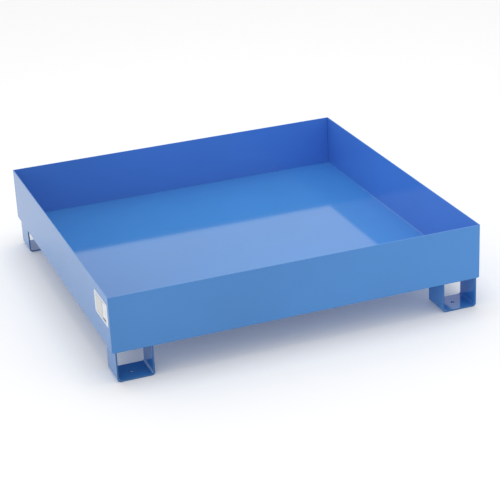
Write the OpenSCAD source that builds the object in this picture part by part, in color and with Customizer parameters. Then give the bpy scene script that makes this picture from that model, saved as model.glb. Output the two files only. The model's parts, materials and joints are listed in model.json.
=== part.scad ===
// Spill containment tray of welded sheet steel, on four feet bent from flat bar.
// Millimetres, +Z up. The origin is on the ground, under the middle of the tray.
// Front is -Y, left is -X.

/* [Tray] */
// Outside width, left to right
tray_w = 1236; // [900:1:1500]
// Outside depth, front to back
tray_d = 1210; // [900:1:1500]
// Height of the walls, from the underside of the floor to the rim
wall_h = 185; // [120:1:300]
// Thickness of the sheet
sheet_t = 3; // [2:0.5:4]
// Inside radius of the bends between the floor and the side walls
sheet_bend = 3; // [2:0.5:5]

/* [Feet] */
// Height of the feet, which is the clearance under the floor
foot_h = 100; // [80:1:150]
// Width of a foot across the outside of its two legs
foot_w = 120; // [90:1:150]
// Width of the flat bar that a foot is bent from
bar_w = 100; // [60:1:120]
// Thickness of the flat bar
bar_t = 5; // [4:0.5:8]
// Inside radius of a foot's two bends
bar_bend = 7; // [5:0.5:10]
// Distance from the side of the tray to the outer leg of a foot
foot_inset_x = 10; // [10:0.5:40]
// Distance from the front or back of the tray to the edge of the flat bar
foot_inset_y = 3; // [3:0.5:40]
// Diameter of the anchor hole in the middle of each foot
anchor_d = 12; // [10:1:18]

/* [Welds] */
// Leg length of the fillet welds between the feet and the floor
fillet = 4; // [3:0.5:4]
// Distance from the end of a fillet weld to the edge of the flat bar
fillet_stop = 4; // [0:1:20]

/* [Label] */
// Length of the blank type label on the left wall
label_w = 136; // [60:1:160]
// Height of the label
label_h = 74; // [40:1:75]
// Thickness of the label
label_t = 0.25; // [0.1:0.05:0.5]
// Corner radius of the label
label_r = 5; // [1:0.5:10]
// Distance from the front of the tray to the label
label_inset = 18; // [10:1:200]
// Distance from the rim to the label
label_down = 31; // [15:1:40]

/* [Hidden] */

left = -1;
right = 1;
front = -1;
back = 1;

outer_bend = sheet_bend + sheet_t; // outside radius of the sheet's bends
foot_x = tray_w / 2 - foot_inset_x - foot_w / 2; // centre of a foot from the middle of the tray
foot_y = tray_d / 2 - foot_inset_y - bar_w / 2;
fillet_len = bar_w - 2 * fillet_stop;
label_z = foot_h + wall_h - label_down - label_h; // lower edge of the label
through = 1; // how far a cutter runs past the face that it cuts

paint = [0.27, 0.53, 0.81];
weld_paint = [0.25, 0.50, 0.78];
label_white = [0.93, 0.94, 0.95];

$fn = 96;

// ---- Placing ----

// Moves a shape that is made for the front left corner to another corner
module at_corner(side, end) {
    mirror([side == right ? 1 : 0, 0, 0])
        mirror([0, end == back ? 1 : 0, 0])
            children();
}

// Stands an outline drawn in X and Z upright and makes it len deep, from y = 0 towards the back
module extrude_back(len) {
    translate([0, len, 0]) rotate([90, 0, 0]) linear_extrude(len) children();
}

// ---- Outlines ----

// Upright rectangle on y = 0, centred on x = 0, with its two lower corners rounded
module tub_outline(w, h, r) {
    translate([-w / 2, r]) square([w, h - r]);
    translate([-w / 2 + r, 0]) square([w - 2 * r, r]);
    for (side = [left, right]) translate([side * (w / 2 - r), r]) circle(r);
}

// Section through a strip bent into a U: outside width w, height h, thickness t, inside radius r
module u_section(w, h, t, r) {
    difference() {
        tub_outline(w, h, r + t);
        translate([0, t]) tub_outline(w - 2 * t, h, r);
    }
}

// Quarter of a disc, in the quadrant of -X and -Y
module quarter_disc(r) {
    intersection() {
        circle(r);
        translate([-r, -r]) square(r);
    }
}

// Section through a fillet weld with a hollow face, its square corner at the origin
// and its legs along +X and -Y
module fillet_section(leg) {
    difference() {
        translate([0, -leg]) square(leg);
        translate([leg, -leg]) circle(leg);
    }
}

module rounded_rectangle(w, h, r) {
    translate([r, 0]) square([w - 2 * r, h]);
    translate([0, r]) square([w, h - 2 * r]);
    for (x = [r, w - r], y = [r, h - r]) translate([x, y]) circle(r);
}

// ---- Tray ----

// Floor and both side walls, folded from one sheet
module pan_sheet() {
    len = tray_d - 2 * sheet_t;
    color(paint) translate([0, -len / 2, foot_h])
        extrude_back(len) u_section(tray_w, wall_h, sheet_t, sheet_bend);
}

// Flat plate that closes the folded sheet at one end. Its outline is the inside of the fold
module end_plate(end) {
    color(paint) at_corner(left, end)
        translate([0, -tray_d / 2, foot_h + sheet_t])
            extrude_back(sheet_t) tub_outline(tray_w - 2 * sheet_t, wall_h - sheet_t, sheet_bend);
}

// Weld that fills one corner of the tray, down the corner and round the bend to the floor.
// It is ground to a quarter round
module corner_weld(side, end) {
    color(weld_paint) at_corner(side, end) {
        translate([-tray_w / 2 + sheet_t, -tray_d / 2 + sheet_t, foot_h + outer_bend])
            linear_extrude(wall_h - outer_bend) quarter_disc(sheet_t);
        translate([-tray_w / 2 + outer_bend, -tray_d / 2 + sheet_t, foot_h + outer_bend])
            rotate([90, 0, 0])
                rotate([0, 0, 180])
                    rotate_extrude(angle = 90)
                        translate([sheet_bend, 0]) rotate(180) quarter_disc(sheet_t);
    }
}

// Weld between an end plate and the edge of the floor, from bend to bend
module floor_weld(end) {
    len = tray_w - 2 * outer_bend;
    color(weld_paint) at_corner(left, end)
        translate([-len / 2, -tray_d / 2 + sheet_t, foot_h + sheet_t])
            rotate([90, 0, 90]) linear_extrude(len) quarter_disc(sheet_t);
}

// ---- Feet ----

// U-shaped foot bent from flat bar, legs up, with an anchor hole in its ground plate
module foot(side, end) {
    color(paint) at_corner(side, end) translate([-foot_x, -foot_y, 0])
        difference() {
            translate([0, -bar_w / 2, 0]) extrude_back(bar_w) u_section(foot_w, foot_h, bar_t, bar_bend);
            translate([0, 0, -through]) cylinder(h = bar_t + 2 * through, d = anchor_d);
        }
}

// The two fillet welds that hold one leg of a foot to the underside of the floor.
// leg is left for the leg nearer the side of the tray, and right for the other
module foot_weld(side, end, leg) {
    leg_x = leg * (foot_w - bar_t) / 2;
    color(weld_paint) at_corner(side, end)
        translate([-foot_x + leg_x, -foot_y - fillet_len / 2, foot_h])
            for (face = [left, right])
                mirror([face == left ? 1 : 0, 0, 0])
                    translate([bar_t / 2, 0, 0]) extrude_back(fillet_len) fillet_section(fillet);
}

// ---- Label ----

// Blank type label on the outside of the left wall, near the front corner
module type_label() {
    color(label_white)
        translate([-tray_w / 2, -tray_d / 2 + label_inset, label_z])
            rotate([90, 0, 90]) mirror([0, 0, 1]) linear_extrude(label_t)
                rounded_rectangle(label_w, label_h, label_r);
}

pan_sheet();
end_plate(front);  // front_plate
end_plate(back);  // back_plate
corner_weld(left, front);  // corner_weld_front_left
corner_weld(right, front);  // corner_weld_front_right
corner_weld(left, back);  // corner_weld_back_left
corner_weld(right, back);  // corner_weld_back_right
floor_weld(front);  // floor_weld_front
floor_weld(back);  // floor_weld_back
foot(left, front);  // foot_front_left
foot(right, front);  // foot_front_right
foot(left, back);  // foot_back_left
foot(right, back);  // foot_back_right
foot_weld(left, front, left);  // foot_weld_front_left_outer
foot_weld(left, front, right);  // foot_weld_front_left_inner
foot_weld(right, front, left);  // foot_weld_front_right_outer
foot_weld(right, front, right);  // foot_weld_front_right_inner
foot_weld(left, back, left);  // foot_weld_back_left_outer
foot_weld(left, back, right);  // foot_weld_back_left_inner
foot_weld(right, back, left);  // foot_weld_back_right_outer
foot_weld(right, back, right);  // foot_weld_back_right_inner
type_label();
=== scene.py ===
"""Looks of the welded steel spill tray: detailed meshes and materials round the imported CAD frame.

Everything is in metres, in the frame's own axes: +Z up, front -Y, left -X.
"""
import json
import math

import bmesh
import bpy
from mathutils import Matrix, Vector, noise


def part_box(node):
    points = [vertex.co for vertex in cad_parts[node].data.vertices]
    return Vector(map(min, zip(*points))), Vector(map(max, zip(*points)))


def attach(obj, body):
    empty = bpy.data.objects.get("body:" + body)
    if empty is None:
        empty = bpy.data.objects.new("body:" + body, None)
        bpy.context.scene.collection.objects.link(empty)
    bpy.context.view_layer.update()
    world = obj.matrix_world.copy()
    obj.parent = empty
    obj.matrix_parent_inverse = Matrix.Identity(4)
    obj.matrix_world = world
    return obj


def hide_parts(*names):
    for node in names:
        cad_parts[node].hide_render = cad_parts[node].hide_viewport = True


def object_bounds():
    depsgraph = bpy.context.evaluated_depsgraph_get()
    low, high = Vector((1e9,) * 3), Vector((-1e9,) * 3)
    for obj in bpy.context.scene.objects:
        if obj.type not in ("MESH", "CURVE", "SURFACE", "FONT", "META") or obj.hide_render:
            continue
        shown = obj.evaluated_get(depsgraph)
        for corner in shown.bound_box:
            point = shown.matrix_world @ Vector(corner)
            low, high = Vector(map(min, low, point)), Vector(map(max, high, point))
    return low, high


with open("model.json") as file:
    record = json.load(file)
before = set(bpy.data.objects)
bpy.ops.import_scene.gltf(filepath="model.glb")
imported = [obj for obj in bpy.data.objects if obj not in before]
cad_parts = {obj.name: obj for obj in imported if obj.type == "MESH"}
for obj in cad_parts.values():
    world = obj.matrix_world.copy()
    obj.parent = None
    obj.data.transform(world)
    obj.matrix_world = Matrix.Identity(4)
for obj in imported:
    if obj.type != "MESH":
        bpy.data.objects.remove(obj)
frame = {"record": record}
cad_low, cad_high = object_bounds()

BODY = "root"
MM = 0.001
TOLERANCE = 0.01 * MM
SIDES = {"left": -1, "right": 1}
ENDS = {"front": -1, "back": 1}
UP = Vector((0, 0, 1))

# ---- Sizes, read from the frame ----

pan_low, pan_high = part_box("pan_sheet")
plate_low, plate_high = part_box("front_plate")
corner_low, corner_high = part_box("corner_weld_front_left")
foot_low, foot_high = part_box("foot_front_left")
bead_low, bead_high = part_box("foot_weld_front_left_outer")
label_low, label_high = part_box("type_label")
anchors = next(m for m in frame["record"]["mounts"] if m["name"] == "anchor_holes")

SHEET = plate_high.y - plate_low.y
BEND_OUTER = corner_high.x - corner_low.x
BEND_INNER = BEND_OUTER - SHEET
TRAY_W = pan_high.x - pan_low.x
UNDERSIDE = pan_low.z
RIM = pan_high.z
FOOT_W = foot_high.x - foot_low.x
FILLET = bead_high.z - bead_low.z
BAR = (bead_high.x - bead_low.x) - 2 * FILLET
ANCHOR_R = anchors["dims"]["hole_r_mm"] * MM

# ---- Sizes that the frame doesn't give ----

BAR_BEND_INNER = 7 * MM  # inside radius of a foot's bends
LABEL_CORNER = 5 * MM  # corner radius of the label

EDGE_ROUND = 0.7 * MM  # radius of a broken edge
SEAM = 1.2 * MM  # radius of an end plate's inner side edges, which shows as a fine seam
SHARP = 50  # degrees from flat, above which an edge counts as sharp

# Faint waves that welding leaves in the sheet
FLOOR_WAVE = 0.06 * MM
WALL_WAVE = 0.15 * MM
WAVE_SCALE = 3.2  # in noise units per metre
WAVE_OFFSET = Vector((4.1, 1.7, 8.3))
FADE_ALONG = 0.15  # distance from the sides and ends over which the waves grow
FADE_UP = 0.1  # height up a wall over which they grow

# How finely the meshes are divided
PARTS_ACROSS = 60  # across or along the tray
PARTS_UP = 8  # up a wall
ARC_PARTS = 8  # round a quarter turn
CORNER_PARTS = 6  # round a plate's or the label's corner
HOLE_PARTS = 48  # round an anchor hole


# ---- Mesh helpers ----

def smooth(t):
    """0 to 1 with flat ends, for t from 0 to 1."""
    t = min(max(t, 0.0), 1.0)
    return t * t * (3 - 2 * t)


def spread(start, end, parts):
    """Evenly spaced values from start to end, both included."""
    return [start + (end - start) * i / parts for i in range(parts + 1)]


def link_mesh(name, bm):
    """Makes an object of bm and frees bm."""
    mesh = bpy.data.meshes.new(name)
    bm.to_mesh(mesh)
    bm.free()
    made = bpy.data.objects.new(name, mesh)
    bpy.context.scene.collection.objects.link(made)
    return made


def finish_piece(name, bm, material, sharp_angle=40):
    """Makes an object of bm, shades it smooth up to sharp_angle, and rides it on the body."""
    bmesh.ops.recalc_face_normals(bm, faces=bm.faces)
    piece = link_mesh(name, bm)
    mesh = piece.data
    mesh.materials.append(material)
    mesh.polygons.foreach_set("use_smooth", [True] * len(mesh.polygons))
    mesh.set_sharp_from_angle(angle=math.radians(sharp_angle))
    keep_flat = piece.modifiers.new("keep_flat", "WEIGHTED_NORMAL")
    keep_flat.keep_sharp = True
    keep_flat.weight = 100  # the large flat faces decide the shading
    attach(piece, BODY)
    return piece


def at_rim(edge):
    """True of an edge that lies in the top of the walls."""
    return all(v.co.z > RIM - MM for v in edge.verts)


def runs_along_y(edge):
    near, far = edge.verts
    return abs(near.co.y - far.co.y) > MM


def round_edges(bm, wanted, width=EDGE_ROUND):
    """Rounds the sharp edges that wanted(edge) picks."""
    bmesh.ops.recalc_face_normals(bm, faces=bm.faces)
    edges = [
        e for e in bm.edges
        if len(e.link_faces) == 2 and e.calc_face_angle() > math.radians(SHARP) and wanted(e)
    ]
    bmesh.ops.bevel(
        bm, geom=edges, offset=width, segments=3, profile=0.5, affect="EDGES", clamp_overlap=True
    )


def u_path(width, height, radius, thickness, floor_parts, wall_parts, bend_parts):
    """Matching points down the outside and the inside of a U, as two lists of (x, z) from the left rim."""
    outer, inner = [], []
    inside = radius - thickness
    for z in spread(height, radius, wall_parts)[:-1]:
        outer.append((-width / 2, z))
        inner.append((-width / 2 + thickness, z))
    centre = (-width / 2 + radius, radius)
    for a in spread(math.pi, 1.5 * math.pi, bend_parts):
        outer.append((centre[0] + radius * math.cos(a), centre[1] + radius * math.sin(a)))
        inner.append((centre[0] + inside * math.cos(a), centre[1] + inside * math.sin(a)))
    for x in spread(-width / 2 + radius, 0, floor_parts // 2)[1:-1]:
        outer.append((x, 0.0))
        inner.append((x, thickness))

    def mirrored(points):
        return points + [(0.0, points[-1][1])] + [(-x, z) for x, z in reversed(points)]

    return mirrored(outer), mirrored(inner)


def bent_strip(outer, inner, rows, moved=lambda p: p):
    """Solid strip with the section outer and inner, drawn at each y in rows. moved() shifts each point."""
    bm = bmesh.new()
    skins = [
        [[bm.verts.new(moved(Vector((x, y, z)))) for x, z in path] for y in rows]
        for path in (outer, inner)
    ]
    for skin in skins:
        for near, far in zip(skin, skin[1:]):
            for i in range(len(near) - 1):
                bm.faces.new((near[i], near[i + 1], far[i + 1], far[i]))
    out, ins = skins
    for j in range(len(rows) - 1):
        for i in (0, -1):
            bm.faces.new((out[j][i], out[j + 1][i], ins[j + 1][i], ins[j][i]))
    for j in (0, -1):
        for i in range(len(outer) - 1):
            bm.faces.new((out[j][i], out[j][i + 1], ins[j][i + 1], ins[j][i]))
    return bm


def add_sweep(bm, stations):
    """Adds to bm a solid through closed sections of points, with flat ends."""
    rings = [[bm.verts.new(p) for p in section] for section in stations]
    for near, far in zip(rings, rings[1:]):
        for i in range(len(near)):
            k = (i + 1) % len(near)
            bm.faces.new((near[i], near[k], far[k], far[i]))
    bm.faces.new(rings[0])
    bm.faces.new(list(reversed(rings[-1])))


def sweep(stations):
    bm = bmesh.new()
    add_sweep(bm, stations)
    return bm


# ---- Materials ----

PAINT = (0.058, 0.241, 0.605)
PAINTED_BOUNCE_TINT = (1.25, 0.94, 1.12)  # painted bounce light: the inner faces of the walls bluer, as light thrown between them makes them
PAINTED_EDGE_SHADE = (0.55, 0.55, 0.55)  # painted shade on the sheared edges of the feet, which face along Y
PAINTED_LIGHT_DRIFT = 0.13  # painted light falling off from the right: the most that the colour darkens towards the left, or lightens towards the right
PATCHY = 0.3  # share of that drift which is in patches of random tone instead of even
PATCH_SIZE = 0.35
HAZE_SIZE = 0.05
HAZE = 0.15  # how far the roughness strays, as a share of it
PEEL_SIZE = 3 * MM
PEEL_DEPTH = 0.05 * MM
PEEL_STRENGTH = 0.12
PAINT_IOR = 1.5
NOISE_LOW, NOISE_HIGH = 0.3, 0.7  # where nearly all of a noise texture's values lie
CUT_FROM, CUT_FULL = 0.6, 0.95  # how squarely a face has to look along Y to count as a cut edge
INNER_FROM, INNER_FULL = -TRAY_W / 5, -TRAY_W / 3  # place along its own normal of an inner face


def node(tree, kind, **inputs):
    """Adds a shader node and sets its inputs by name, with underscores for spaces."""
    made = tree.nodes.new(kind)
    for key, value in inputs.items():
        made.inputs[key.replace("_", " ")].default_value = value
    return made


def new_material(name):
    material = bpy.data.materials.new(name)
    material.use_nodes = True
    tree = material.node_tree
    tree.nodes.clear()
    output = tree.nodes.new("ShaderNodeOutputMaterial")
    shader = tree.nodes.new("ShaderNodeBsdfPrincipled")
    tree.links.new(shader.outputs["BSDF"], output.inputs["Surface"])
    return material, tree, shader


def noise_field(tree, coordinates, size, detail=2.0):
    """Noise whose features are about size metres across."""
    field = node(tree, "ShaderNodeTexNoise", Scale=1 / size, Detail=detail, Roughness=0.5)
    tree.links.new(coordinates.outputs["Object"], field.inputs["Vector"])
    return field.outputs["Fac"]


def ranged(tree, source, low, high, source_low=NOISE_LOW, source_high=NOISE_HIGH):
    """Maps source, a noise unless its own range is given, onto low to high."""
    mapped = node(
        tree, "ShaderNodeMapRange", From_Min=source_low, From_Max=source_high, To_Min=low, To_Max=high
    )
    tree.links.new(source, mapped.inputs["Value"])
    return mapped.outputs["Result"]


def split_axes(tree, source):
    axes = tree.nodes.new("ShaderNodeSeparateXYZ")
    tree.links.new(source, axes.inputs["Vector"])
    return axes.outputs


def multiplied(tree, amount, colour, tint):
    """Multiplies the colour by tint where amount is 1, and leaves it where amount is 0."""
    mixed = tree.nodes.new("ShaderNodeMix")
    mixed.data_type = "RGBA"
    mixed.blend_type = "MULTIPLY"
    mixed.inputs["B"].default_value = (*tint, 1)
    tree.links.new(amount, mixed.inputs["Factor"])
    tree.links.new(colour, mixed.inputs["A"])
    return mixed.outputs["Result"]


def edge_shade_mask(tree, coordinates):
    """1 on faces that look along Y, which on a foot are the sheared edges of its bar; where the painted shade
    goes.
    """
    facing = split_axes(tree, coordinates.outputs["Normal"])
    along_y = tree.nodes.new("ShaderNodeMath")
    along_y.operation = "ABSOLUTE"
    tree.links.new(facing["Y"], along_y.inputs[0])
    return ranged(tree, along_y.outputs["Value"], 0, 1, CUT_FROM, CUT_FULL)


def inner_bounce_mask(tree, coordinates):
    """1 on the inner faces of the tray's walls, which look back at the middle of the tray; where the painted
    bounce light goes.
    """
    outwards = tree.nodes.new("ShaderNodeVectorMath")
    outwards.operation = "DOT_PRODUCT"
    tree.links.new(coordinates.outputs["Object"], outwards.inputs[0])
    tree.links.new(coordinates.outputs["Normal"], outwards.inputs[1])
    return ranged(tree, outwards.outputs["Value"], 0, 1, INNER_FROM, INNER_FULL)


def painted_light_and_patches(tree, coordinates, colour):
    """The colour with painted light, darker towards the left and lighter towards the right, and faintly
    patchy in tone.
    """
    across = split_axes(tree, coordinates.outputs["Object"])
    even = ranged(tree, across["X"], PATCHY / 2, 1 - PATCHY / 2, -TRAY_W / 2, TRAY_W / 2)
    patches = noise_field(tree, coordinates, PATCH_SIZE)
    light_and_tone = tree.nodes.new("ShaderNodeMath")
    light_and_tone.operation = "ADD"
    tree.links.new(even, light_and_tone.inputs[0])
    tree.links.new(ranged(tree, patches, -PATCHY / 2, PATCHY / 2), light_and_tone.inputs[1])
    mixed = tree.nodes.new("ShaderNodeMix")
    mixed.data_type = "RGBA"
    mixed.inputs["A"].default_value = (*[c * (1 - PAINTED_LIGHT_DRIFT) for c in colour], 1)
    mixed.inputs["B"].default_value = (*[c * (1 + PAINTED_LIGHT_DRIFT) for c in colour], 1)
    tree.links.new(light_and_tone.outputs["Value"], mixed.inputs["Factor"])
    return mixed.outputs["Result"]


def blue_paint(name, colour, roughness=0.08, peel=1.0, edge_shade_tint=None, inner_bounce_tint=None):
    """Glossy stoved enamel on steel, with faint orange peel and painted light falling off across the tray; on
    request also painted shade on cut edges and painted bounce light on inner faces.
    """
    material, tree, shader = new_material(name)
    coordinates = tree.nodes.new("ShaderNodeTexCoord")
    # painted light falling off from the right, with faint random patches of tone
    paint = painted_light_and_patches(tree, coordinates, colour)
    # painted shade on the sheared edges of the feet
    if edge_shade_tint is not None:
        paint = multiplied(tree, edge_shade_mask(tree, coordinates), paint, edge_shade_tint)
    # painted bounce light on the inner faces of the walls
    if inner_bounce_tint is not None:
        paint = multiplied(tree, inner_bounce_mask(tree, coordinates), paint, inner_bounce_tint)
    tree.links.new(paint, shader.inputs["Base Color"])

    haze = noise_field(tree, coordinates, HAZE_SIZE, detail=4)
    hazed = ranged(tree, haze, roughness * (1 - HAZE), roughness * (1 + HAZE))
    tree.links.new(hazed, shader.inputs["Roughness"])
    shader.inputs["IOR"].default_value = PAINT_IOR

    skin = noise_field(tree, coordinates, PEEL_SIZE, detail=1)
    bump = node(tree, "ShaderNodeBump", Strength=PEEL_STRENGTH * peel, Distance=PEEL_DEPTH)
    tree.links.new(skin, bump.inputs["Height"])
    tree.links.new(bump.outputs["Normal"], shader.inputs["Normal"])
    return material


def plain(name, colour, roughness, glow=0.0, shine=0.5):
    """One even colour. glow is white light that it gives off, and shine its specular level."""
    material, tree, shader = new_material(name)
    shader.inputs["Specular IOR Level"].default_value = shine
    shader.inputs["Base Color"].default_value = (*colour, 1)
    shader.inputs["Roughness"].default_value = roughness
    shader.inputs["Emission Color"].default_value = (1, 1, 1, 1)
    shader.inputs["Emission Strength"].default_value = glow
    return material


# the sheet's paint carries painted bounce light inside the walls
sheet_paint = blue_paint("painted_sheet", PAINT, inner_bounce_tint=PAINTED_BOUNCE_TINT)
# the bars' paint carries painted shade on their cut edges
bar_paint = blue_paint("painted_bar", PAINT, peel=1.3, edge_shade_tint=PAINTED_EDGE_SHADE)
weld_paint = blue_paint("painted_weld", PAINT, roughness=0.12, peel=1.6)
label_vinyl = plain("label_vinyl", (0.82, 0.85, 0.88), roughness=0.35)
grey_ink = plain("grey_ink", (0.30, 0.30, 0.32), roughness=0.5, shine=0.3)
green_ink = plain("green_ink", (0.60, 0.65, 0.60), roughness=0.5, shine=0.3)
rose_ink = plain("rose_ink", (0.64, 0.61, 0.63), roughness=0.5, shine=0.3)
dark_ink = plain("dark_ink", (0.04, 0.04, 0.045), roughness=0.6, shine=0.1)


# ---- Tray ----

def sheet_wave(p):
    """Noise that says how far the sheet stands off flat at p."""
    return noise.noise(p * WAVE_SCALE + WAVE_OFFSET)


def wall_wave(p):
    """How far a wall stands in from flat at p, which is never outwards."""
    return WALL_WAVE * (0.5 + 0.5 * sheet_wave(p))


def move_pan(p):
    """Waves the floor up and down and the side walls inwards, and leaves the bends and ends in place."""
    to_end = min(p.y - pan_low.y, pan_high.y - p.y)
    to_side = min(p.x - pan_low.x, pan_high.x - p.x)
    above = p.z - UNDERSIDE
    free = smooth(to_end / FADE_ALONG)
    if above <= SHEET + TOLERANCE:
        p.z += FLOOR_WAVE * sheet_wave(p) * free * smooth((to_side - BEND_OUTER) / FADE_ALONG)
    elif to_side <= SHEET + TOLERANCE:
        inwards = 1 if p.x < 0 else -1
        p.x += inwards * wall_wave(p) * free * smooth((above - BEND_OUTER) / FADE_UP)
    return p


def pan_sheet():
    """Floor and both side walls, folded from one sheet."""
    paths = u_path(
        TRAY_W, RIM - UNDERSIDE, BEND_OUTER, SHEET,
        floor_parts=PARTS_ACROSS, wall_parts=PARTS_UP, bend_parts=ARC_PARTS,
    )
    outer, inner = [[(x, z + UNDERSIDE) for x, z in path] for path in paths]
    bm = bent_strip(outer, inner, spread(pan_low.y, pan_high.y, PARTS_ACROSS), move_pan)
    round_edges(bm, lambda e: at_rim(e) and runs_along_y(e))
    piece = finish_piece("pan_sheet_painted", bm, sheet_paint)
    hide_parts("pan_sheet")


def rounding(radius, from_side):
    """How far a rounded corner of this radius stands back, from_side in from the plate's side."""
    run = max(0.0, radius - from_side)
    return radius - math.sqrt(max(0.0, radius ** 2 - run ** 2))


def end_plate(end):
    """Flat plate, waved slightly inwards, with its lower corners and the inner edges of its sides rounded."""
    low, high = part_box(f"{end}_plate")
    sign = ENDS[end]
    half = (high.x - low.x) / 2
    corner = [BEND_INNER * (1 - math.cos(a)) for a in spread(0, math.pi / 2, CORNER_PARTS)]
    columns = [-half + c for c in corner]
    columns += spread(-half + BEND_INNER, half - BEND_INNER, PARTS_ACROSS)[1:-1]
    columns += [half - c for c in reversed(corner)]
    inner_y = low.y if sign > 0 else high.y
    bm = bmesh.new()

    def place(x, y, up):
        from_side = half - abs(x)
        bottom = low.z + rounding(BEND_INNER, from_side)
        p = Vector((x, y, bottom + (high.z - bottom) * up))
        held = smooth(from_side / FADE_ALONG) * smooth((p.z - low.z) / FADE_UP)
        p.y -= sign * wall_wave(p) * held
        if y == inner_y:
            p.y += sign * rounding(SEAM, from_side)
        return bm.verts.new(p)

    ups = spread(0, 1, PARTS_UP)
    skins = [[[place(x, y, up) for x in columns] for up in ups] for y in (low.y, high.y)]
    last = len(columns) - 1
    for skin in skins:
        for a, b in zip(skin, skin[1:]):
            for i in range(last):
                bm.faces.new((a[i], a[i + 1], b[i + 1], b[i]))
    near, far = skins
    for i in range(last):
        for j in (0, -1):
            bm.faces.new((near[j][i], near[j][i + 1], far[j][i + 1], far[j][i]))
    for j in range(len(ups) - 1):
        for i in (0, last):
            bm.faces.new((near[j][i], near[j + 1][i], far[j + 1][i], far[j][i]))
    round_edges(bm, lambda e: at_rim(e) and not runs_along_y(e))
    piece = finish_piece(f"{end}_plate_painted", bm, sheet_paint)
    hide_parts(f"{end}_plate")


# ---- Ground welds of the tray ----

GRIND_UNEVEN = 0.03  # how far a ground weld's radius strays, as a share of it
GRIND_SCALE = 90  # in noise units per metre
CORNER_WELD_PARTS = 60
FLOOR_WELD_PARTS = 240
WELD_RIM_ROUND = 0.5 * MM


def ground_radius(p):
    """Radius of a ground weld near p: never quite even, and never above the sheet's thickness."""
    return SHEET * (1 - GRIND_UNEVEN * (0.5 + 0.5 * noise.noise(p * GRIND_SCALE)))


def quarter_section(centre, across, out):
    """Quarter disc round centre, from direction across to direction out, with its square corner."""
    r = ground_radius(centre)
    turns = spread(0, math.pi / 2, ARC_PARTS)
    arc = [centre + across * (r * math.cos(a)) + out * (r * math.sin(a)) for a in turns]
    return [centre] + arc


def corner_weld(side, end):
    """Weld down one corner of the tray and round the bend to the floor."""
    x, y = SIDES[side], ENDS[end]
    out = Vector((0, y, 0))
    seam_x, seam_y = x * (TRAY_W / 2 - SHEET), y * (cad_high.y - SHEET)
    across = Vector((x, 0, 0))
    stations = [
        quarter_section(Vector((seam_x, seam_y, z)), across, out)
        for z in spread(RIM, UNDERSIDE + BEND_OUTER, CORNER_WELD_PARTS)
    ]
    bend = Vector((x * (TRAY_W / 2 - BEND_OUTER), seam_y, UNDERSIDE + BEND_OUTER))
    for a in spread(0, math.pi / 2, ARC_PARTS)[1:]:
        across = Vector((x * math.cos(a), 0, -math.sin(a)))
        stations.append(quarter_section(bend + across * BEND_INNER, across, out))
    name = f"corner_weld_{end}_{side}"
    bm = sweep(stations)
    round_edges(bm, at_rim, width=WELD_RIM_ROUND)
    piece = finish_piece(f"{name}_ground", bm, weld_paint)
    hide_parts(name)


def floor_weld(end):
    """Weld between an end plate and the edge of the floor, from bend to bend."""
    y = ENDS[end]
    half = TRAY_W / 2 - BEND_OUTER
    seam_y, seam_z = y * (cad_high.y - SHEET), UNDERSIDE + SHEET
    stations = [
        quarter_section(Vector((x, seam_y, seam_z)), -UP, Vector((0, y, 0)))
        for x in spread(-half, half, FLOOR_WELD_PARTS)
    ]
    piece = finish_piece(f"floor_weld_{end}_ground", sweep(stations), weld_paint)
    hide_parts(f"floor_weld_{end}")


# ---- Feet ----

FOOT_PARTS = 8  # across or along a foot's ground plate
LEG_PARTS = 4  # up its leg
FOOT_BEND_PARTS = 10  # round its bend
DRILL_LENGTH = 6 * BAR  # centred on the ground, so it passes well through the bar


def drilled(bm, x, y, z):
    """A copy of bm with an upright anchor hole through it, round x, y and z. Frees bm."""
    drill = bmesh.new()
    bmesh.ops.create_cone(
        drill, cap_ends=True, segments=HOLE_PARTS, radius1=ANCHOR_R, radius2=ANCHOR_R,
        depth=DRILL_LENGTH, matrix=Matrix.Translation((x, y, z)),
    )
    cutter = link_mesh("drill", drill)
    blank = link_mesh("blank", bm)
    cut = blank.modifiers.new("drill", "BOOLEAN")
    cut.object = cutter
    cut.operation = "DIFFERENCE"
    cut.solver = "EXACT"
    result = bmesh.new()
    result.from_object(blank, bpy.context.evaluated_depsgraph_get())
    for used in (cutter, blank):
        bpy.data.objects.remove(used)
    return result


def foot(side, end):
    """U bent from flat bar, with an anchor hole through its ground plate and every free edge broken."""
    low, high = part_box(f"foot_{end}_{side}")
    middle = (low + high) / 2
    paths = u_path(
        FOOT_W, high.z - low.z, BAR_BEND_INNER + BAR, BAR,
        floor_parts=FOOT_PARTS, wall_parts=LEG_PARTS, bend_parts=FOOT_BEND_PARTS,
    )
    outer, inner = [[(x + middle.x, z + low.z) for x, z in path] for path in paths]
    bar = bent_strip(outer, inner, spread(low.y, high.y, FOOT_PARTS))
    bmesh.ops.recalc_face_normals(bar, faces=bar.faces)
    bm = drilled(bar, middle.x, middle.y, low.z)
    round_edges(bm, lambda e: min(v.co.z for v in e.verts) < high.z - TOLERANCE)
    piece = finish_piece(f"foot_{end}_{side}_painted", bm, bar_paint)
    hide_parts(f"foot_{end}_{side}")


BEAD_STEP = 0.4 * MM  # between the sections of a bead
BEAD_PITCH = 2.4 * MM  # from ripple to ripple
BEAD_BOW = 0.8 * MM  # how far a ripple bows in the middle of the bead's face
BEAD_CROWN = 0.10  # bulge of the face, as a share of the bead's depth there
BEAD_RIPPLE = 0.12  # height of the ripples, as a share of the same depth
BEAD_BLUNT = 0.3  # size of the bead's blunt ends, as a share of its full size
BEAD_UNEVEN = 0.04  # how far its leg strays, as a share of it
BEAD_SCALE = 150  # in noise units per metre


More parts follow.
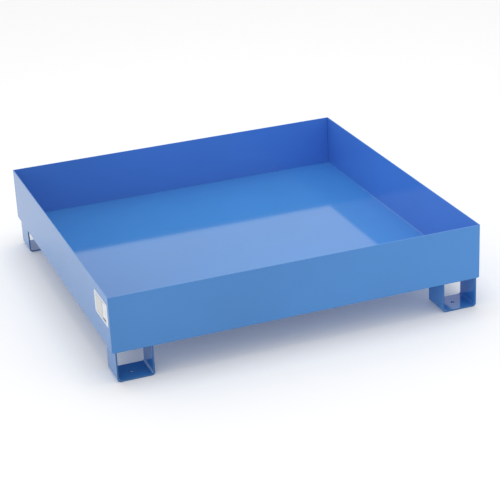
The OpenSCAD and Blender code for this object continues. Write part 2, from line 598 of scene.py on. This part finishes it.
def bead_stations(root, across, length, seed):
    """Sections of a hand-run fillet weld along +Y from root, its legs along across and straight down."""
    stations = []
    for y in spread(0, length, round(length / BEAD_STEP)):
        start = root + Vector((0, y, 0))
        to_stop = min(y, length - y) / FILLET
        grown = math.sqrt(1 - (1 - min(to_stop, 1)) ** 2)
        uneven = 1 - BEAD_UNEVEN + BEAD_UNEVEN * noise.noise(start * BEAD_SCALE)
        leg = FILLET * max(grown, BEAD_BLUNT) * uneven
        section = [start]
        for a in spread(0, math.pi / 2, ARC_PARTS):
            middle = math.sin(2 * a)
            ripple = abs(math.sin(math.pi * (y + BEAD_BOW * middle + seed) / BEAD_PITCH))
            face = leg / (math.cos(a) + math.sin(a))
            reach = face * (1 + (BEAD_CROWN + BEAD_RIPPLE * ripple) * middle)
            section.append(start + across * (reach * math.cos(a)) - UP * (reach * math.sin(a)))
        stations.append(section)
    return stations


def foot_weld(side, end, leg):
    """The two fillet beads of one leg, one on each face, under the floor."""
    name = f"foot_weld_{end}_{side}_{leg}"
    low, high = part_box(name)
    middle = (low.x + high.x) / 2
    bm = bmesh.new()
    for face in (-1, 1):
        root = Vector((middle + face * BAR / 2, low.y, high.z))
        across = Vector((face, 0, 0))
        add_sweep(bm, bead_stations(root, across, high.y - low.y, seed=middle * face))
    piece = finish_piece(f"{name}_beads", bm, weld_paint, sharp_angle=60)
    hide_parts(name)


# ---- Label ----

INK = 0.05 * MM  # thickness of the print

# The printed form, measured from the label's front lower corner
LINE = 2 * MM
DIVIDER_LINE = 4 * MM
FRAME_NEAR, FRAME_FAR = 16 * MM, 122 * MM
FRAME_LOW, FRAME_HIGH = 6 * MM, 68 * MM
DIVIDER, HALFWAY = 50 * MM, 88 * MM
BAR_HEIGHT = 6 * MM
ROWS = 5
ROW_GAP = 1.2 * MM


def type_label():
    """Vinyl sheet with rounded corners, its face one ink's thickness under the CAD label's."""
    near, far = label_low.y + LABEL_CORNER, label_high.y - LABEL_CORNER
    bottom, top = label_low.z + LABEL_CORNER, label_high.z - LABEL_CORNER
    outline = []
    for quarter, (y, z) in enumerate([(far, top), (near, top), (near, bottom), (far, bottom)]):
        start = quarter * math.pi / 2
        for a in spread(start, start + math.pi / 2, CORNER_PARTS):
            outline.append((y + LABEL_CORNER * math.cos(a), z + LABEL_CORNER * math.sin(a)))
    stations = [[Vector((x, y, z)) for y, z in outline] for x in (label_high.x, label_low.x + INK)]
    piece = finish_piece("type_label_vinyl", sweep(stations), label_vinyl)
    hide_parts("type_label")


def label_print(name, fields, ink):
    """Printed fields, each given as near, low, far and high from the label's front lower corner.

    Fields that meet share the corners there and have no wall between them.
    """
    bm = bmesh.new()
    corners = {}
    walls = []

    def corner(x, y, z):
        if (x, y, z) not in corners:
            corners[x, y, z] = bm.verts.new(label_low + Vector((x, y, z)))
        return corners[x, y, z]

    back, face = 2 * INK, 0
    for near, low, far, high in fields:
        outline = [(near, low), (far, low), (far, high), (near, high)]
        for x in (back, face):
            bm.faces.new([corner(x, y, z) for y, z in outline])
        for a, b in zip(outline, outline[1:] + outline[:1]):
            if (b, a) in walls:
                walls.remove((b, a))
            else:
                walls.append((a, b))
    for a, b in walls:
        bm.faces.new([corner(back, *a), corner(back, *b), corner(face, *b), corner(face, *a)])
    piece = finish_piece(f"label_print_{name}", bm, ink)


def frame_cells():
    """The printed frame and its divider, cut into cells that meet corner to corner."""
    along = [FRAME_NEAR, FRAME_NEAR + LINE, DIVIDER, DIVIDER + DIVIDER_LINE, FRAME_FAR - LINE, FRAME_FAR]
    up = [FRAME_LOW, FRAME_LOW + LINE, FRAME_HIGH - LINE, FRAME_HIGH]
    middle_row = 1
    return [
        (along[i], up[j], along[i + 1], up[j + 1])
        for i in range(len(along) - 1)
        for j in range(len(up) - 1)
        if j != middle_row or i % 2 == 0
    ]


def field_rows(near, far):
    """One column of blank fields between near and far, up the inside of the printed frame."""
    low, high = FRAME_LOW + LINE, FRAME_HIGH - LINE
    pitch = (high - low) / ROWS
    return [
        (near + ROW_GAP, low + pitch * row + ROW_GAP, far - ROW_GAP, low + pitch * (row + 1) - ROW_GAP)
        for row in range(ROWS)
    ]


def label_prints():
    """A blank form: framed, divided in two, with tinted fields and one dark bar, and no lettering."""
    label_print("frame", frame_cells(), grey_ink)
    label_print("middle_fields", field_rows(DIVIDER + DIVIDER_LINE, HALFWAY), green_ink)
    label_print("rear_fields", field_rows(HALFWAY, FRAME_FAR - LINE), rose_ink)
    bar_low = FRAME_LOW + LINE + ROW_GAP
    bar = (FRAME_NEAR + 2 * LINE, bar_low, DIVIDER - LINE, bar_low + BAR_HEIGHT)
    label_print("bar", [bar], dark_ink)


pan_sheet()
for end in ENDS:
    end_plate(end)
    floor_weld(end)
    for side in SIDES:
        corner_weld(side, end)
        foot(side, end)
        for leg in ("outer", "inner"):
            foot_weld(side, end, leg)
type_label()
label_prints()


# ---- Stage, light and camera ----

FLOOR_HALF = 120  # half the width of the floor
FLOOR_GAP = 0.2 * MM
FLOOR_WHITE = (0.9, 0.9, 0.9)
FLOOR_GLOW = 0.09
LIGHT_AROUND = 0.84
LIGHT_BEHIND = 0.26  # added to it at the backdrop
SOFTBOX_HEIGHT = 4.0
SOFTBOX_SIZE = 2.0
SOFTBOX_POWER = 36

# Camera: angles in degrees, distance and aim in metres, the aim from the middle of the tray.
# They were fitted to the corners of the tray in the photo
VIEW_AZIMUTH = 19.98
VIEW_ELEVATION = 23.34
VIEW_ROLL = -2.74
VIEW_DISTANCE = 5.4246
AIM_OFFSET = Vector((0.0409, -0.0385, -0.0514))
SENSOR = 36.0  # in millimetres, as the lens is
LENS = 114.02


def studio_floor():
    """Wide white floor, a hair under the feet."""
    bm = bmesh.new()
    bmesh.ops.create_grid(bm, x_segments=1, y_segments=1, size=FLOOR_HALF)
    floor = link_mesh("studio_floor", bm)
    floor.location.z = -FLOOR_GAP
    floor.data.materials.append(plain("studio_white", FLOOR_WHITE, roughness=0.9, glow=FLOOR_GLOW))


def world_light(around, behind):
    """White light from all around, growing by behind towards the backdrop at +Y."""
    world = bpy.data.worlds.new("studio")
    bpy.context.scene.world = world
    world.use_nodes = True
    tree = world.node_tree
    background = tree.nodes["Background"]
    direction = tree.nodes.new("ShaderNodeTexCoord")
    axes = split_axes(tree, direction.outputs["Generated"])
    grown = node(tree, "ShaderNodeMapRange", From_Min=0, From_Max=1, To_Min=around, To_Max=around + behind)
    grown.interpolation_type = "SMOOTHSTEP"
    tree.links.new(axes["Y"], grown.inputs["Value"])
    tree.links.new(grown.outputs["Result"], background.inputs["Strength"])
    background.inputs["Color"].default_value = (1, 1, 1, 1)


def softbox(name, place, aim, size, power):
    """Square light at place that looks at aim. It doesn't show in reflections."""
    data = bpy.data.lights.new(name, "AREA")
    data.shape = "RECTANGLE"
    data.size = data.size_y = size
    data.energy = power
    lamp = bpy.data.objects.new(name, data)
    lamp.location = place
    lamp.rotation_euler = (Vector(aim) - Vector(place)).to_track_quat("-Z", "Y").to_euler()
    lamp.visible_glossy = False
    bpy.context.scene.collection.objects.link(lamp)


def camera():
    """Camera at the photograph's angle: azimuth to the left of the front, elevation above the ground."""
    data = bpy.data.cameras.new("camera")
    data.sensor_width = SENSOR
    data.lens = LENS
    eye = bpy.data.objects.new("camera", data)
    a, e = math.radians(VIEW_AZIMUTH), math.radians(VIEW_ELEVATION)
    back = Vector((-math.sin(a) * math.cos(e), -math.cos(a) * math.cos(e), math.sin(e)))
    aim = (cad_low + cad_high) / 2 + AIM_OFFSET
    eye.location = aim + back * VIEW_DISTANCE
    upright = (-back).to_track_quat("-Z", "Y").to_matrix()
    eye.rotation_euler = (upright @ Matrix.Rotation(math.radians(VIEW_ROLL), 3, "Z")).to_euler()
    bpy.context.scene.collection.objects.link(eye)
    bpy.context.scene.camera = eye


studio_floor()
world_light(LIGHT_AROUND, LIGHT_BEHIND)
softbox("overhead", (0, 0, SOFTBOX_HEIGHT), (0, 0, 0), SOFTBOX_SIZE, SOFTBOX_POWER)
camera()
bpy.context.scene.view_settings.view_transform = "Standard"
